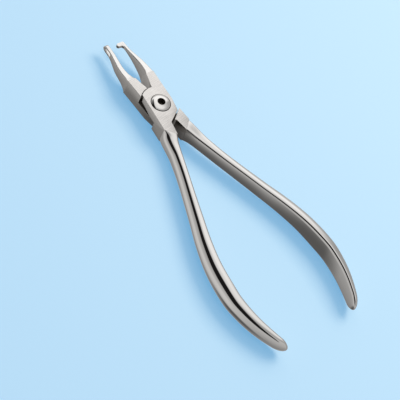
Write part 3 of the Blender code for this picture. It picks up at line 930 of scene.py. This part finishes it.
def thread_tree():
    """Geometry Nodes for a screw thread: a ridge that winds round the shank."""
    tree = bpy.data.node_groups.new("screw_thread", "GeometryNodeTree")
    for name in ("Core Radius", "Pitch", "Length", "Ridge"):
        group_socket(tree, name, "INPUT")
    group_socket(tree, "Metal", "INPUT", "NodeSocketMaterial")
    group_socket(tree, "Mesh", "OUTPUT", "NodeSocketGeometry")
    nodes = tree.nodes
    link = tree.links.new
    given = nodes.new("NodeGroupInput")
    turns = worked_out(tree, "DIVIDE", given.outputs["Length"], given.outputs["Pitch"])
    helix = nodes.new("GeometryNodeCurveSpiral")
    helix.inputs["Resolution"].default_value = THREAD_TURN_STEPS
    link(turns, helix.inputs["Rotations"])
    link(given.outputs["Core Radius"], helix.inputs["Start Radius"])
    link(given.outputs["Core Radius"], helix.inputs["End Radius"])
    link(given.outputs["Length"], helix.inputs["Height"])
    ridge = nodes.new("GeometryNodeCurvePrimitiveCircle")
    ridge.inputs["Resolution"].default_value = THREAD_SIDES
    link(given.outputs["Ridge"], ridge.inputs["Radius"])
    sweep = nodes.new("GeometryNodeCurveToMesh")
    sweep.inputs["Fill Caps"].default_value = True
    link(helix.outputs["Curve"], sweep.inputs["Curve"])
    link(ridge.outputs["Curve"], sweep.inputs["Profile Curve"])
    real = nodes.new("GeometryNodeRealizeInstances")
    link(sweep.outputs["Mesh"], real.inputs["Geometry"])
    painted = nodes.new("GeometryNodeSetMaterial")
    link(real.outputs["Geometry"], painted.inputs["Geometry"])
    link(given.outputs["Metal"], painted.inputs["Material"])
    link(painted.outputs["Geometry"], nodes.new("NodeGroupOutput").inputs["Mesh"])
    return tree


def screw_thread(metal):
    """Thread of the shank in the rear plate, as a plain mesh."""
    piece = new_piece("pivot_screw_thread", bpy.data.meshes.new("pivot_screw_thread"))
    winding = piece.modifiers.new("winding", "NODES")
    winding.node_group = thread_tree()
    values = {
        "Core Radius": SHANK_DIAMETER / 2,
        "Pitch": THREAD_PITCH,
        "Length": MID_PLANE - 2 * SCREW_CHAMFER,
        "Ridge": THREAD_RIDGE,
        "Metal": metal,
    }
    for socket in winding.node_group.interface.items_tree:
        if socket.in_out == "INPUT":
            winding[socket.identifier] = values[socket.name]
    apply_modifiers(piece)
    shape = bmesh.new()
    shape.from_mesh(piece.data)
    bmesh.ops.translate(shape, verts=shape.verts, vec=(0, 0, SCREW_CHAMFER))
    bmesh.ops.remove_doubles(shape, verts=shape.verts, dist=MERGE_DISTANCE)
    bmesh.ops.recalc_face_normals(shape, faces=shape.faces)
    shape.to_mesh(piece.data)
    shape.free()
    return piece


turned = steel("polished_steel", (0.92, 0.91, 0.90), 0.10, contrast=0.03, relief=0.0006 * MM)
pivot_screw = lathe("pivot_screw_finished", screw_profile())
for cutter in socket_cutters():
    combine(pivot_screw, cutter, "DIFFERENCE")
finish_mesh(pivot_screw)
straighten(pivot_screw)
dress(pivot_screw, [turned, recess_shade], screw_finish_and_shade)
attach(pivot_screw, "slot_half")
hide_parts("pivot_screw")

thread = screw_thread(turned)
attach(thread, "slot_half")

# Setting: a plain pale floor, a soft lamp behind the pliers on the right, a studio of white and
# grey for the steel to mirror, and the camera at the photo's view.

FLOOR_SIZE = 3.0
FLOOR_COLOUR = (0.48, 0.49, 0.42)
FLOOR_GLOW = (0.06, 0.30, 0.57)
LAMP_PLACE = Vector((0.05, 0.5, 0.6))
LAMP_TARGET = Vector((0.03, 0.0, 0.0))
LAMP_LENGTH = 0.5
LAMP_BREADTH = 0.4
LAMP_POWER = 4.0
CAMERA_OFFSET = Vector((177.98, -258.51, 386.00)) * MM
CAMERA_RIGHT = Vector((0.5672, 0.7693, 0.2939))
CAMERA_UP = Vector((-0.7742, 0.3763, 0.5090))
CAMERA_BACK = Vector((0.2810, -0.5163, 0.8090))
CAMERA_LENS = 112.5
CAMERA_SENSOR = 36.0

floor_material = bpy.data.materials.new("pale_floor")
floor_material.use_nodes = True
floor_shader = floor_material.node_tree.nodes["Principled BSDF"]
floor_shader.inputs["Base Color"].default_value = (*FLOOR_COLOUR, 1.0)
floor_shader.inputs["Roughness"].default_value = 0.9
floor_shader.inputs["Specular IOR Level"].default_value = 0.0
floor_shader.inputs["Emission Color"].default_value = (*FLOOR_GLOW, 1.0)
floor_shader.inputs["Emission Strength"].default_value = 1.0
bpy.ops.mesh.primitive_plane_add(size=FLOOR_SIZE, location=(0, 0, cad_box[0][2]))
floor = bpy.context.object
floor.name = "floor"
floor.data.materials.append(floor_material)
floor.visible_glossy = False

lamp_data = bpy.data.lights.new("soft_lamp", "AREA")
lamp_data.shape = "RECTANGLE"
lamp_data.size = LAMP_LENGTH
lamp_data.size_y = LAMP_BREADTH
lamp_data.energy = LAMP_POWER
lamp = bpy.data.objects.new("soft_lamp", lamp_data)
bpy.context.scene.collection.objects.link(lamp)
lamp.location = LAMP_PLACE
lamp.rotation_euler = (LAMP_TARGET - LAMP_PLACE).to_track_quat("-Z", "Y").to_euler()
lamp.visible_glossy = False

# Directions in the studio, and how far along each it starts and ends its turn from one
# brightness to another.
STUDIO_TINT = (1.0, 0.985, 0.965)
PICTURE_RIGHT = (0.874, -0.485, 0.0)
SCREEN_TOP = (0.5956, 0.6776, 0.4316)
SCREEN_FOOT = (0.37, 0.0, 1.0)
SHADE_BELOW = (-0.05, -0.50, -0.865)
NEAR_RIGHT_LIMITS = (0.25, 0.70)
FAR_RIGHT_LIMITS = (-0.38, -0.14)
FAR_LIMITS = (-0.15, 0.15)
SCREEN_TOP_LIMITS = (-0.06, -0.19)
SCREEN_FOOT_LIMITS = (0.17, 0.25)
SHADE_LIMITS = (0.935, 0.997)
SCREEN_LEVEL = 0.010
SHADE_LEVEL = 0.10

# Brightness of the studio at heights from straight down (-1) to straight up (1)
NEAR_LEFT = ((-1.0, 0.22), (-0.85, 0.26), (-0.65, 0.50), (-0.45, 0.60), (-0.15, 0.62), (0.0, 0.52),
             (0.15, 0.46), (0.4, 0.36), (0.8, 0.50), (0.9, 0.72), (1.0, 0.86))
NEAR_RIGHT = ((-1.0, 0.22), (-0.8, 0.30), (-0.5, 0.42), (-0.1, 0.48), (0.2, 0.52), (0.45, 0.50), (0.6, 0.34),
              (0.75, 0.40), (0.88, 0.58), (1.0, 0.86))
FAR_LEFT = ((-1.0, 0.40), (0.0, 0.50), (0.25, 0.75), (0.4, 1.0), (0.6, 1.02), (0.8, 0.95), (1.0, 0.88))
FAR_RIGHT = ((-1.0, 0.35), (0.0, 0.35), (0.3, 0.36), (0.6, 0.38), (0.8, 0.55), (0.92, 0.80), (1.0, 0.88))


def studio_colour(level):
    return tuple(level * share for share in STUDIO_TINT)


def studio_world():
    """World that depends on the direction: white above and at the far left, grey elsewhere, with a
    dark screen round the camera and a darker patch below."""
    world = bpy.data.worlds.new("studio")
    world.use_nodes = True
    tree = world.node_tree
    generated = tree.nodes.new("ShaderNodeTexCoord").outputs["Generated"]
    direction = tree.nodes.new("ShaderNodeSeparateXYZ")
    tree.links.new(generated, direction.inputs[0])

    def past(value, limits):
        return mapped(tree, value, *limits, easing="SMOOTHSTEP")

    def towards(axis):
        return dot_product(tree, generated, axis)

    def by_height(stops):
        band = tree.nodes.new("ShaderNodeValToRGB")
        tree.links.new(mapped(tree, direction.outputs["Z"], -1.0, 1.0), band.inputs["Fac"])
        points = band.color_ramp.elements
        while len(points) < len(stops):
            points.new(0.5)
        for point, (height, level) in zip(points, stops):
            point.position = (height + 1) / 2
            point.color = (*studio_colour(level), 1.0)
        return band.outputs["Color"]

    near_right = past(towards(PICTURE_RIGHT), NEAR_RIGHT_LIMITS)
    near = mixed(tree, near_right, by_height(NEAR_LEFT), by_height(NEAR_RIGHT))
    far_right = past(direction.outputs["X"], FAR_RIGHT_LIMITS)
    far = mixed(tree, far_right, by_height(FAR_LEFT), by_height(FAR_RIGHT))
    studio = mixed(tree, past(direction.outputs["Y"], FAR_LIMITS), near, far)
    below_top = past(towards(SCREEN_TOP), SCREEN_TOP_LIMITS)
    above_foot = past(towards(SCREEN_FOOT), SCREEN_FOOT_LIMITS)
    screen = worked_out(tree, "MULTIPLY", below_top, above_foot)
    studio = mixed(tree, screen, studio, studio_colour(SCREEN_LEVEL))
    shade = past(towards(SHADE_BELOW), SHADE_LIMITS)
    studio = mixed(tree, shade, studio, studio_colour(SHADE_LEVEL))
    background = tree.nodes["Background"]
    tree.links.new(studio, background.inputs["Color"])
    background.inputs["Strength"].default_value = 1.0
    return world


bpy.context.scene.world = studio_world()

camera_data = bpy.data.cameras.new("camera")
camera_data.sensor_width = CAMERA_SENSOR
camera_data.lens = CAMERA_LENS
camera = bpy.data.objects.new("camera", camera_data)
bpy.context.scene.collection.objects.link(camera)
place = Vector((0.0, 0.0, JOINT_THICKNESS)) + CAMERA_OFFSET
turn = Matrix((CAMERA_RIGHT, CAMERA_UP, CAMERA_BACK)).transposed()
camera.matrix_world = Matrix.Translation(place) @ turn.to_4x4()
bpy.context.scene.camera = camera
bpy.context.scene.view_settings.view_transform = "Standard"
